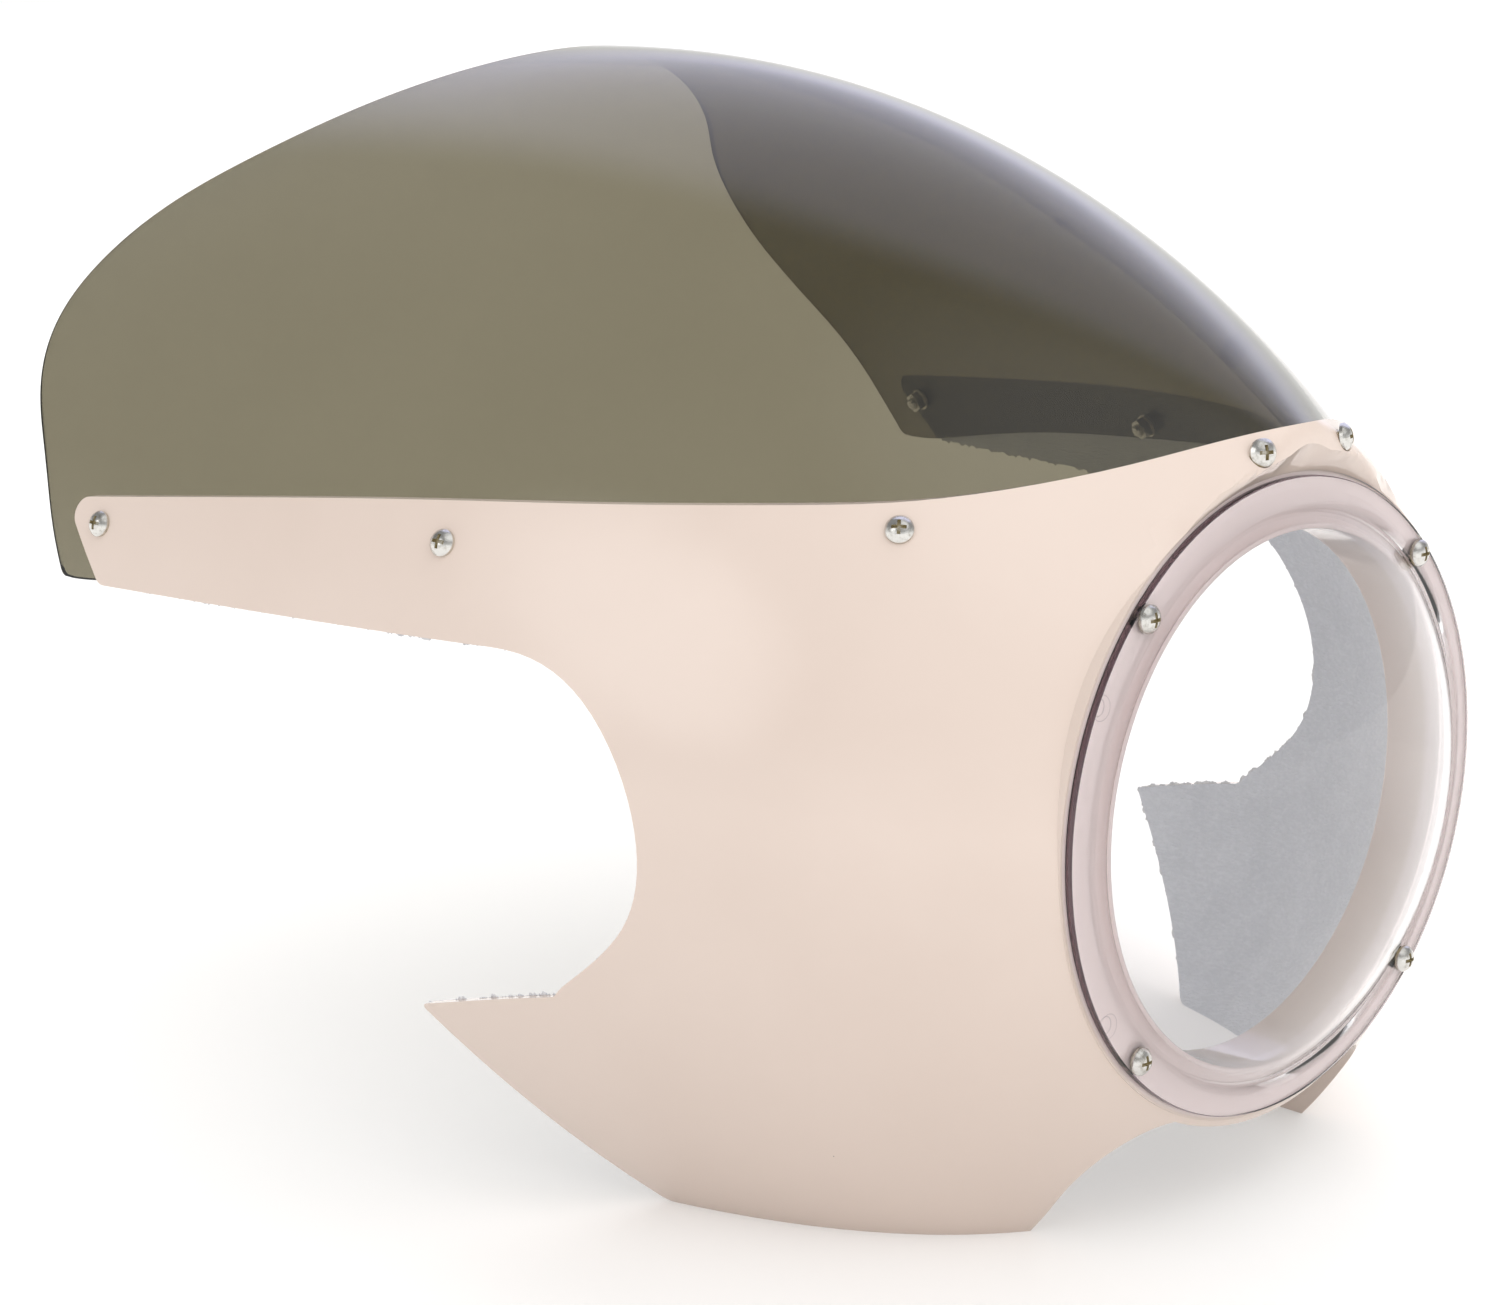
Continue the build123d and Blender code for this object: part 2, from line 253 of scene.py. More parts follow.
@dataclass(frozen=True)
class Gelcoat(Finish):
    """Gloss gelcoat outside, raw glass-fibre mat inside."""

    name: str = "gelcoat"
    slot: Slot = Slot.GELCOAT
    colour: Colour = (0.77, 0.645, 0.57)
    shade: Colour = (0.745, 0.62, 0.545)
    clouds: Mottle = Mottle(9.0, 0.35, 0.7)
    # Painted light: the seat ring's paler, pinker colour under the cover stands in for light the
    # clear cover holds back.
    ring: Colour = (0.86, 0.735, 0.705)
    painted_ring_radius: float = 0.1115
    painted_ring_back: float = 0.004
    speck: Colour = (0.30, 0.25, 0.21)
    speck_cells: float = 65.0
    speck_rarity: Pair = (0.90, 0.91)
    speck_size: Pair = (0.018, 0.028)
    wear: Mottle = Mottle(26.0, 0.3, 0.7)
    worn_roughness: Pair = (0.08, 0.13)
    peel_cells: float = 210.0
    peel_height: float = 0.03
    coat: float = 0.35
    coat_roughness: float = 0.04
    lip_radius: float = 0.0965
    lip_back: float = 0.0195
    fade: float = 0.001
    rear_lean: float = 0.6
    raw_facing: Pair = (-0.62, -0.5)
    mat_dark: Colour = (0.69, 0.72, 0.79)
    mat_pale: Colour = (0.83, 0.86, 0.93)
    mat_spread: Pair = (0.3, 0.85)
    mat_weights: Place = (0.22, 0.38, 0.55)
    mat_fineness: float = 0.6
    mat_roughness: float = 0.55
    strand_turns: tuple[Place, ...] = (
        (15.0, 20.0, 40.0), (75.0, -30.0, 10.0), (135.0, 10.0, -50.0),
    )
    strand_draw: Place = (900.0, 90.0, 900.0)
    strand_detail: float = 1.0
    strand_spread: Pair = (0.45, 0.8)
    strand_height: float = 0.35
    grain_cells: float = 1100.0
    grain_height: float = 0.65
    patch_cells: float = 42.0
    patch_detail: float = 4.0
    relief: float = 0.0006

    def inside(self, paint: Paint) -> Socket:
        """Where the raw mat shows: on faces that look at the lamp axis and the rear, off the lip.

        The normal is set against (x / r, -lean, z / r), where r is the distance from the axis.

        Args:
            paint: Its nodes.

        Returns:
            0 on the gelcoat, 1 on the raw mat.
        """
        flat = paint.vector("MULTIPLY", paint.place, (1.0, 0.0, 1.0))
        away = paint.vector("ADD", paint.vector("NORMALIZE", flat), (0.0, -self.rear_lean, 0.0))
        normal = paint.add("ShaderNodeNewGeometry").outputs["Normal"]
        facing = paint.vector("DOT_PRODUCT", normal, paint.vector("NORMALIZE", away))
        raw = paint.step(facing, *self.raw_facing, 1.0, 0.0)
        apart = paint.step(paint.radius(), self.lip_radius - self.fade, self.lip_radius)
        behind = paint.step(paint.behind(), self.lip_back, self.lip_back + self.fade)
        return paint.math("MULTIPLY", raw, paint.math("MAXIMUM", apart, behind))

    def painted_light_ring(self, paint: Paint) -> Socket:
        """Where the seat ring under the cover is painted paler: painted light that stands in for
        light the clear cover holds back.

        Args:
            paint: Its nodes.

        Returns:
            1 within the ring's radius and ahead of its back, 0 elsewhere.
        """
        rim = (self.painted_ring_radius - self.fade, self.painted_ring_radius)
        within = paint.step(paint.radius(), *rim, 1.0, 0.0)
        ahead = paint.step(paint.behind(), 0.0, self.painted_ring_back, 1.0, 0.0)
        return paint.math("MULTIPLY", within, ahead)

    def specks(self, paint: Paint) -> Socket:
        """Rare dark specks: the middles of those cells whose random colour is reddest.

        Args:
            paint: Its nodes.

        Returns:
            1 on a speck, 0 elsewhere.
        """
        feeds = {"Vector": paint.place, "Scale": self.speck_cells, "Randomness": 1.0}
        cells = paint.add("ShaderNodeTexVoronoi", feeds)
        red = paint.vector("DOT_PRODUCT", cells.outputs["Color"], (1.0, 0.0, 0.0))
        middle = paint.step(cells.outputs["Distance"], *self.speck_size, 1.0, 0.0)
        return paint.math("MULTIPLY", paint.step(red, *self.speck_rarity), middle)

    def mat(self, paint: Paint) -> tuple[Socket, Socket]:
        """Chopped-strand mat: fine grain, cloudy patches and faint strands in three directions.

        Args:
            paint: Its nodes.

        Returns:
            Its colour and its height from 0 to 1.
        """
        along = [paint.drawn(paint.place, turn, self.strand_draw) for turn in self.strand_turns]
        fields = [paint.noise(at, 1.0, self.strand_detail) for at in along]
        strands = paint.step(paint.joined("MAXIMUM", fields), *self.strand_spread)
        grain = paint.noise(paint.place, self.grain_cells, fine=self.mat_fineness)
        patches = paint.noise(paint.place, self.patch_cells, self.patch_detail, self.mat_fineness)
        mottle = paint.weighed(*zip((strands, grain, patches), self.mat_weights))
        height = paint.weighed((strands, self.strand_height), (grain, self.grain_height))
        colour = paint.mix(paint.step(mottle, *self.mat_spread), self.mat_dark, self.mat_pale)
        return colour, height

    def dress(self, paint: Paint) -> None:
        """Gelcoat with faint clouds, specks and orange peel, the seat ring painted paler under the
        cover as painted light, and the mat inside.

        Args:
            paint: Its nodes.
        """
        raw = self.inside(paint)
        gloss = paint.mix(self.clouds.spread(paint, paint.place), self.colour, self.shade)
        # Painted light: the seat ring under the cover is painted paler than the rest of the
        # gelcoat.
        gloss = paint.mix(self.painted_light_ring(paint), gloss, self.ring)
        gloss = paint.mix(self.specks(paint), gloss, self.speck)
        worn = self.wear.spread(paint, paint.place, *self.worn_roughness)
        peel = paint.math("MULTIPLY", paint.noise(paint.place, self.peel_cells), self.peel_height)
        mat, mat_height = self.mat(paint)
        paint.put({
            "Base Color": paint.mix(raw, gloss, mat),
            "Roughness": paint.blend(raw, worn, self.mat_roughness),
            "Normal": paint.bump(paint.blend(raw, peel, mat_height), self.relief),
            "IOR": GELCOAT_IOR,
            "Coat Weight": self.coat,
            "Coat Roughness": self.coat_roughness,
        })


@dataclass(frozen=True)
class FrayedMat(Finish):
    """Loose ends of glass-fibre mat along a cut edge."""

    name: str = "frayed_mat"
    slot: Slot = Slot.GELCOAT
    dark: Colour = (0.68, 0.69, 0.73)
    pale: Colour = (0.86, 0.87, 0.89)
    fibre_cells: float = 700.0
    fibre_detail: float = 3.0
    fibre_spread: Pair = (0.35, 0.7)
    relief: float = 0.0003
    roughness: float = 0.7

    def dress(self, paint: Paint) -> None:
        """Dull grey fibres with pale tips.

        Args:
            paint: Its nodes.
        """
        fibres = paint.noise(paint.place, self.fibre_cells, self.fibre_detail)
        tips = paint.step(fibres, *self.fibre_spread)
        paint.put({
            "Base Color": paint.mix(tips, self.dark, self.pale),
            "Normal": paint.bump(fibres, self.relief),
            "Roughness": self.roughness,
        })


@dataclass(frozen=True)
class SmokedAcrylic(Finish):
    """Smoked see-through sheet."""

    name: str = "smoked_acrylic"
    slot: Slot = Slot.SMOKED
    colour: Colour = (0.182, 0.164, 0.110)
    paler: Colour = (0.197, 0.178, 0.121)
    drift: Mottle = Mottle(5.0, 0.3, 0.7, 2.0)
    streak_draw: Place = (34.0, 4.0, 34.0)
    streaks: Mottle = Mottle(1.0, 0.35, 0.75)
    dullest: float = 0.012

    def dress(self, paint: Paint) -> None:
        """Clear gloss sheet whose tint is what one thickness lets through.

        Args:
            paint: Its nodes.
        """
        along = paint.drawn(paint.place, (0.0, 0.0, 0.0), self.streak_draw)
        drift = self.drift.spread(paint, paint.place)
        paint.put({
            "Base Color": paint.mix(drift, self.colour, self.paler),
            "Roughness": self.streaks.spread(paint, along, 0.0, self.dullest),
            "Transmission Weight": 1.0,
            "IOR": ACRYLIC_IOR,
        })


@dataclass(frozen=True)
class ClearAcrylic(Finish):
    """Clear cover whose cut edge is painted dark as painted shade, with hairline mould marks."""

    name: str = "clear_acrylic"
    slot: Slot = Slot.CLEAR
    colour: Colour = (0.985, 0.97, 0.98)
    # Painted shade: the dark colour of the cut edge, for the edge's dark internal reflection and
    # the shadow in the gap.
    edge: Colour = (0.045, 0.022, 0.030)
    shaded_edge_radius: float = 0.1095
    shaded_edge_fade: float = 0.0002
    mark: Colour = (0.55, 0.50, 0.52)
    mark_radius: float = 0.0042
    mark_line: float = 0.00022
    marks: tuple[Place, ...] = ((-0.0965, -0.003, 0.0490), (-0.0905, -0.003, -0.0580))
    haze: Mottle = Mottle(30.0, 0.4, 0.8)
    dullest: float = 0.02

    def marked(self, paint: Paint) -> Socket:
        """Hairline rings where the mould's pins met the flange.

        Args:
            paint: Its nodes.

        Returns:
            1 on a line, 0 elsewhere.
        """
        total: Value = 0.0
        for centre in self.marks:
            away = paint.vector("DISTANCE", paint.place, centre)
            off = paint.math("ABSOLUTE", paint.math("SUBTRACT", away, self.mark_radius))
            line = paint.step(off, 0.0, self.mark_line, 1.0, 0.0)
            total = paint.math("ADD", total, line, clamp=True)
        return total

    def dress(self, paint: Paint) -> None:
        """Clear gloss sheet whose cut edge is painted dark where seen from outside: painted shade
        and painted reflection for the edge.

        Args:
            paint: Its nodes.
        """
        # Painted shade: the cut edge is dark only on faces seen from outside.
        rim = (self.shaded_edge_radius, self.shaded_edge_radius + self.shaded_edge_fade)
        back = paint.add("ShaderNodeNewGeometry").outputs["Backfacing"]
        outside = paint.math("SUBTRACT", 1.0, back)
        cut = paint.math("MULTIPLY", paint.step(paint.radius(), *rim), outside)
        sheet = paint.mix(self.marked(paint), self.colour, self.mark)
        paint.put({
            "Base Color": paint.mix(cut, sheet, self.edge),
            "Roughness": self.haze.spread(paint, paint.place, 0.0, self.dullest),
            "Transmission Weight": 1.0,
            "IOR": ACRYLIC_IOR,
        })


@dataclass(frozen=True)
class ZincPlate(Finish):
    """Bright zinc-plated steel with painted shade in its recesses."""

    name: str = "plated_steel"
    slot: Slot = Slot.STEEL
    colour: Colour = (0.70, 0.69, 0.66)
    dull: Colour = (0.45, 0.43, 0.385)
    # Painted shade: the dark warm colour laid in the recesses that ambient occlusion finds.
    recess_shade: Colour = (0.42, 0.35, 0.19)
    patch_cells: float = 420.0
    patch_detail: float = 4.0
    patch_fineness: float = 0.6
    dull_spread: Pair = (0.45, 0.75)
    rough_spread: Pair = (0.3, 0.8)
    roughness: Pair = (0.14, 0.32)
    recess_reach: float = 0.0022
    recess_spread: Pair = (0.35, 0.75)
    recess_samples: int = 8
    grain_cells: float = 2600.0
    relief: float = 0.00004

    def dress(self, paint: Paint) -> None:
        """Plated metal with dull patches, a fine grain and painted shade in the recesses: a dark,
        warm, non-metallic colour where ambient occlusion is low.

        Args:
            paint: Its nodes.
        """
        patches = paint.noise(paint.place, self.patch_cells, self.patch_detail, self.patch_fineness)
        plated = paint.mix(paint.step(patches, *self.dull_spread), self.colour, self.dull)
        reach = {"Distance": self.recess_reach}
        shade = paint.add("ShaderNodeAmbientOcclusion", reach, samples=self.recess_samples)
        open_to_sky = paint.step(shade.outputs["AO"], *self.recess_spread)
        paint.put({
            # Painted shade: recesses take the dark colour and lose their metal.
            "Base Color": paint.mix(open_to_sky, self.recess_shade, plated),
            "Metallic": open_to_sky,
            "Roughness": paint.step(patches, *self.rough_spread, *self.roughness),
            "Normal": paint.bump(paint.noise(paint.place, self.grain_cells), self.relief),
        })


@dataclass(frozen=True)
class CowlForm:
    """Outer form of the cowl in millimetres: a frame across it at each y behind the lamp's seat.

    Over the lamp axis a frame is |x / half width|^n + |z / crown|^n = 1. Under it the frame is an
    ellipse down to the keel.
    """

    nose_radius: float = 111.0
    width_gain: float = 72.7
    width_run: float = 71.2
    width_flare: float = 0.146
    crest_height: float = 247.1
    crest_y: float = 333.8
    crown_at_seat: float = 134.8
    crown_power: float = 2.17
    keel_gain: float = 115.9
    keel_run: float = 56.5
    arch_nose: float = 1.55
    arch_rear: float = 2.0
    arch_run: float = 153.0
    inset_side: float = 0.93
    inset_back: float = 0.5
    ridge_ease: float = 0.1
    brow_y: float = -9.5
    brow_round: float = 11.0
    wall: float = 4.0

    def half_width(self, y: Array) -> Array:
        """Half width at axis height: a rise that dies away, plus a steady flare.

        Args:
            y: Distance behind the seat. Ahead of it the width follows a straight line.

        Returns:
            The half width.
        """
        behind = np.maximum(y, 0.0)
        slope = self.width_gain / self.width_run + self.width_flare
        rise = self.width_gain * (1 - np.exp(-behind / self.width_run)) + self.width_flare * behind
        return self.nose_radius + rise + slope * np.minimum(y, 0.0)

    def crown(self, y: Array) -> Array:
        """Height of the middle line: a power curve that peaks at the crest."""
        fall = self.crest_height - self.crown_at_seat
        return self.crest_height - fall * np.abs(1 - y / self.crest_y) ** self.crown_power

    def keel(self, y: Array) -> Array:
        """Depth of the middle line under the axis: a rise that dies away behind the seat."""
        return self.nose_radius + self.keel_gain * (1 - np.exp(-np.maximum(y, 0.0) / self.keel_run))

    def roundness(self, y: Array) -> Array:
        """Power of the arch over the axis: pointed at the nose, an ellipse at the rear."""
        nose = np.exp(-np.maximum(y, 0.0) / self.arch_run)
        return self.arch_rear - (self.arch_rear - self.arch_nose) * nose

    def arch(self, angle: Array, y: Array, inset: float) -> tuple[Array, Array]:
        """Points of the arch: x = wide * cos^p and z = up * sin^p, eased at the ridge.

        The power p is 2 / roundness.

        Args:
            angle: 0 at the right-hand side, pi at the left.
            y: Distance behind the seat.
            inset: Its depth under the outer form.

        Returns:
            x and z.
        """
        at = y - self.inset_back * inset
        power = 2.0 / self.roundness(at)
        cos = np.cos(angle)
        eased = (cos**2 + self.ridge_ease**2) ** ((power - 1) / 2)
        wide = self.half_width(at) - self.inset_side * inset
        up = self.crown(at) - self.inset_side * inset
        return wide * cos * eased, up * np.sin(angle) ** power

    def side(self, y: Array, z: Array, inset: float) -> Array:
        """Half width of the wall at a height: the frame's equation solved for x.

        Args:
            y: Distance behind the seat.
            z: Height over the lamp axis.
            inset: Its depth under the outer form.

        Returns:
            x on the right-hand side.
        """
        at = y - self.inset_back * inset
        wide = self.half_width(at) - self.inset_side * inset
        reach = np.where(z > 0, self.crown(at), self.keel(at)) - self.inset_side * inset
        power = np.where(z > 0, self.roundness(at), 2.0)
        return wide * (1 - np.clip(np.abs(z / reach), 0.0, 1.0) ** power) ** (1 / power)


def spline(knots: Knots, at: Array) -> Array:
    """Natural cubic spline: second derivatives solved from the knots, a cubic between each pair.

    Args:
        knots: Pairs of place and value, in order of place.
        at: Places where it is read.

    Returns:
        The values there.
    """
    x, f = np.array(knots).T
    h = np.diff(x)
    bend = np.eye(len(x))
    load = np.zeros(len(x))
    inner = np.arange(1, len(x) - 1)
    bend[inner, inner - 1] = h[:-1]
    bend[inner, inner] = 2 * (h[:-1] + h[1:])
    bend[inner, inner + 1] = h[1:]
    load[inner] = 6 * np.diff(np.diff(f) / h)
    m = np.linalg.solve(bend, load)
    k = np.clip(np.searchsorted(x, at) - 1, 0, len(h) - 1)
    a, b = (x[k + 1] - at) / h[k], (at - x[k]) / h[k]
    curve = ((a**3 - a) * m[k] + (b**3 - b) * m[k + 1]) * h[k] ** 2 / 6
    return a * f[k] + b * f[k + 1] + curve


def graded(stretches: Steps) -> Array:
    """Rising places from 0 to 1, evenly spaced within each stretch.

    Args:
        stretches: Where each stretch ends and how many steps it has.

    Returns:
        The places.
    """
    starts = [0.0] + [end for end, _ in stretches[:-1]]
    spans = zip(starts, stretches)
    runs = [np.linspace(start, end, count, endpoint=False) for start, (end, count) in spans]
    return np.append(np.concatenate(runs), 1.0)


def grid_faces(rows: int, columns: int, wrap: bool = False) -> Array:
    """Faces of a grid whose points run row by row.

    Args:
        rows: Number of rows.
        columns: Points in a row.
        wrap: True where each row is a ring.

    Returns:
        One row of four point numbers for each face.
    """
    across = np.arange(columns if wrap else columns - 1)
    i, j = np.meshgrid(np.arange(rows - 1), across, indexing="ij")
    here, there = i * columns + j, i * columns + (j + 1) % columns
    return np.stack([here, there, there + columns, here + columns], axis=-1).reshape(-1, 4)


def grid_border(number: Array, k: int) -> Array:
    """Point numbers once round a grid's border, or each one's neighbour k lines further in."""
    sides = [number[k, :-1], number[:-1, -1 - k], number[-1 - k, :0:-1], number[:0:-1, k]]
    return np.concatenate(sides)


def make_piece(
    name: str,
    points: Array,
    faces: list[Array],
    finish: Finish,
    node: str | None = None,
    normals: Array | None = None,
) -> bpy.types.Object:
    """Makes a closed mesh into a piece of the cowl, with its faces turned outwards.

    The sign of the sum of first . (second x third) over their triangles tells which way they turn.

    Args:
        name: Name of the piece.
        points: Points in millimetres.
        faces: Arrays of point numbers, one row for each face.
        finish: Its finish.
        node: Solid that it stands for, if any.
        normals: One for each corner, if any, with zeros where the mesh's own is used.

    Returns:
        The piece.
    """
    corners = [points[f[:, [0, k, k + 1]]] for f in faces for k in range(1, f.shape[1] - 1)]
    volume = sum(np.einsum("ij,ij->", c[:, 0], np.cross(c[:, 1], c[:, 2])) for c in corners)
    outward = [f if volume > 0 else f[:, ::-1] for f in faces]
    mesh = bpy.data.meshes.new(name)
    mesh.from_pydata((points * MM).tolist(), [], [row for f in outward for row in f.tolist()])
    mesh.polygons.foreach_set("use_smooth", np.ones(len(mesh.polygons), dtype=bool))
    mesh.set_sharp_from_angle(angle=SHARP_ANGLE)
    if normals is not None:
        mesh.normals_split_custom_set(normals.tolist())
    mesh.materials.append(finish.material())
    piece = bpy.data.objects.new(name, mesh)
    bpy.context.scene.collection.objects.link(piece)
    if node:
        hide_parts(node)
    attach(piece, "root")
    return piece


@dataclass
class Shell:
    """Moulded shell: the solid's own surface, its brow eased back to a flare round the seat."""

    finish: Finish
    name: str = "moulded_shell"
    node: str = "fairing_shell"
    recess_radius: float = 111.4
    flare_radius: float = 118.5
    ease: float = 0.88
    decimals: int = 4

    def drawn_back(self, points: Array) -> Array:
        """How far each point moves to the rear, as a share of how far it lies ahead of the seat.

        The share falls evenly with the radius, from ease at the recess to 0 at the flare.

        Args:
            points: Points in millimetres.

        Returns:
            Distances, 0 behind the plane of the seat and inside the recess.
        """
        radius = np.hypot(points[:, 0], points[:, 2])
        out = (radius - self.recess_radius) / (self.flare_radius - self.recess_radius)
        share = np.where(out < 0, 0.0, self.ease * np.clip(1 - out, 0.0, 1.0))
        return share * np.maximum(-points[:, 1], 0.0)

    def build(self) -> bpy.types.Object:
        """Copies the solid's triangles with merged points, flares them and keeps true normals.

        Returns:
            The piece that stands for the solid shell.
        """
        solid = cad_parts[self.node].data
        points = np.empty(3 * len(solid.vertices))
        solid.vertices.foreach_get("co", points)
        corners = np.empty(len(solid.loops), dtype=int)
        solid.loops.foreach_get("vertex_index", corners)
        normals = np.empty(3 * len(solid.loops))
        solid.corner_normals.foreach_get("vector", normals)
        points = (points.reshape(-1, 3) / MM).round(self.decimals)
        points, number = np.unique(points, axis=0, return_inverse=True)
        faces = number.ravel()[corners].reshape(-1, 3)
        back = self.drawn_back(points)
        points[:, 1] += back
        moved = (back[faces] > 0).any(axis=1)
        kept = np.where(moved[:, None, None], 0.0, normals.reshape(-1, 3, 3)).reshape(-1, 3)
        return make_piece(self.name, points, [faces], self.finish, self.node, kept)


@dataclass
class Screen:
    """Smoked screen: two skins of the cowl's form, trimmed in side view, with a rounded cut edge.

    The lower edge is z at each y, the trailing edge y at each z.
    """

    form: CowlForm
    finish: Finish
    name: str = "smoked_screen"
    node: str = "windscreen"
    outer_inset: float = 4.45
    inner_inset: float = 6.8
    lamp_radius: float = 118.0
    lower_edge: Knots = (
        (-40, 95), (0, 95), (20, 95), (61, 92.5), (130, 86.5), (206, 79), (290, 70), (345, 60.5),
        (366, 57), (386, 56),
    )
    trailing_edge: Knots = (
        (56, 386), (72, 396), (89, 406), (102, 415), (116, 426), (132, 436), (149, 440.5),
        (169, 436), (190, 420), (208, 396), (229, 366), (250, 330),
    )
    corner_radius: float = 6.0
    corner_start: float = 382.7
    corner_run: float = 5.1
    edge_bulge: float = 0.5
    edge_shares: tuple[float, ...] = (0.15, 0.35, 0.5, 0.65, 0.85)
    steps_across: Steps = ((0.01, 6), (0.99, 220), (1.0, 6))
    steps_along: Steps = ((0.05, 26), (0.992, 84), (1.0, 7))
    search: Pair = (-60.0, 120.0)
    solve_steps: int = 50

    def low(self, y: Array) -> Array:
        """Height of the lower edge, with an arc up into the trailing edge at its rear corner.

        Args:
            y: Distance behind the seat.

        Returns:
            z.
        """
        along = np.clip(y - self.corner_start, 0.0, self.corner_run)
        rise = self.corner_radius - np.sqrt(self.corner_radius**2 - along**2)
        return spline(self.lower_edge, np.minimum(y, self.lower_edge[-1][0])) + rise

    def across(self, u: Array, y: Array, inset: float) -> tuple[Array, Array]:
        """Points of the arch between the two lower edges.

        Args:
            u: Share of the way across, from the right-hand lower edge to the left-hand one.
            y: Distance behind the seat.
            inset: Its depth under the outer form.

        Returns:
            x and z.
        """
        at = y - self.form.inset_back * inset
        up = self.form.crown(at) - self.form.inset_side * inset
        low = np.arcsin(np.clip(self.low(y) / up, 0.0, 1.0) ** (self.form.roundness(at) / 2))
        return self.form.arch(low + u * (math.pi - 2 * low), y, inset)

    def skin(self, u: Array, q: Array, inset: float) -> Array:
        """Points of one skin: a flat brow, a fillet of radius R and the form's long side behind it.

        The side leans by the angle a = atan(dr / dy) where it starts. For q > 0 a point lies q mm
        behind the fillet. For q < 0 it lies on the fillet's arc, (y, r) = centre + R * (-sin t,
        cos t) with t from a to a right angle, and then on the flat brow towards the lamp.

        Args:
            u: Share of the way across.
            q: Distance along the section from the end of the fillet.
            inset: Its depth under the outer form.

        Returns:
            The points.
        """
        front = self.form.brow_y + inset
        radius = self.form.brow_round - inset
        start = np.hypot(*self.across(u, np.full_like(u, front), inset))
        ahead = np.hypot(*self.across(u, np.full_like(u, front + 1.0), inset))
        lean = np.arctan(ahead - start)
        bend = math.pi / 2 - lean
        turn = lean + np.clip(-q / radius, 0.0, bend)
        brow = np.maximum(-q - radius * bend, 0.0)
        fall = radius * (np.cos(lean) - np.cos(turn)) + brow
        behind = front + radius - radius * np.sin(lean) + np.maximum(q, 0.0)
        x, z = self.across(u, behind, inset)
        shrink = 1 - fall / np.hypot(x, z)
        y = front + radius - radius * np.sin(turn) + np.maximum(q, 0.0)
        return np.stack([x * shrink, y, z * shrink], axis=-1)

    def first(self, u: Array, inset: float) -> Array:
        """Where each line starts: on the lamp's circle, found by halving.

        Args:
            u: Share of the way across.
            inset: Its depth under the outer form.

        Returns:
            Distances q as in skin.
        """
        low, high = (np.full_like(u, limit) for limit in self.search)
        for _ in range(self.solve_steps):
            middle = (low + high) / 2
            points = self.skin(u, middle, inset)
            short = np.hypot(points[..., 0], points[..., 2]) < self.lamp_radius
            low, high = np.where(short, middle, low), np.where(short, high, middle)
        return high

    def last(self, u: Array, inset: float) -> Array:
        """Where each line ends: on the trailing edge, found by reading y at the height reached.

        Args:
            u: Share of the way across.
            inset: Its depth under the outer form.

        Returns:
            Distances q as in skin.
        """
        root = self.skin(u, np.zeros_like(u), inset)[..., 1]
        y = np.full_like(u, self.lower_edge[-1][0])
        for _ in range(self.solve_steps):
            _, z = self.across(u, y, inset)
            y = (y + spline(self.trailing_edge, np.maximum(z, self.trailing_edge[0][0]))) / 2
        return y - root

    def build(self) -> bpy.types.Object:
        """Makes both skins on one grid and joins their borders by rows that bulge half a sine.

        Returns:
            The piece that stands for the solid screen.
        """
        u, v = graded(self.steps_across), graded(self.steps_along)
        skins = []
        for inset in (self.outer_inset, self.inner_inset):
            start, end = self.first(u, inset), self.last(u, inset)
            q = start[:, None] + (end - start)[:, None] * v[None, :]
            skin = self.skin(np.repeat(u[:, None], len(v), axis=1), q, inset)
            skins.append(skin.reshape(-1, 3))
        outer, inner = skins
        size = len(outer)
        number = np.arange(size).reshape(len(u), len(v))
        loop, next_in = grid_border(number, 0), grid_border(number, 1)
        out = sum(points[loop] - points[next_in] for points in skins)
        out /= np.linalg.norm(out, axis=1, keepdims=True)
        rows, rings = [], [loop]
        for k, share in enumerate(self.edge_shares):
            bulge = self.edge_bulge * math.sin(math.pi * share) * out
            rows.append((1 - share) * outer[loop] + share * inner[loop] + bulge)
            rings.append(2 * size + k * len(loop) + np.arange(len(loop)))
        rings.append(size + loop)
        edge = [
            np.stack([a, b, np.roll(b, -1), np.roll(a, -1)], axis=1)
            for a, b in zip(rings[:-1], rings[1:])
        ]
        sheet = grid_faces(len(u), len(v))
        faces = [sheet, sheet[:, ::-1] + size, *edge]
        points = np.concatenate([outer, inner, *rows])
        return make_piece(self.name, points, faces, self.finish, self.node)


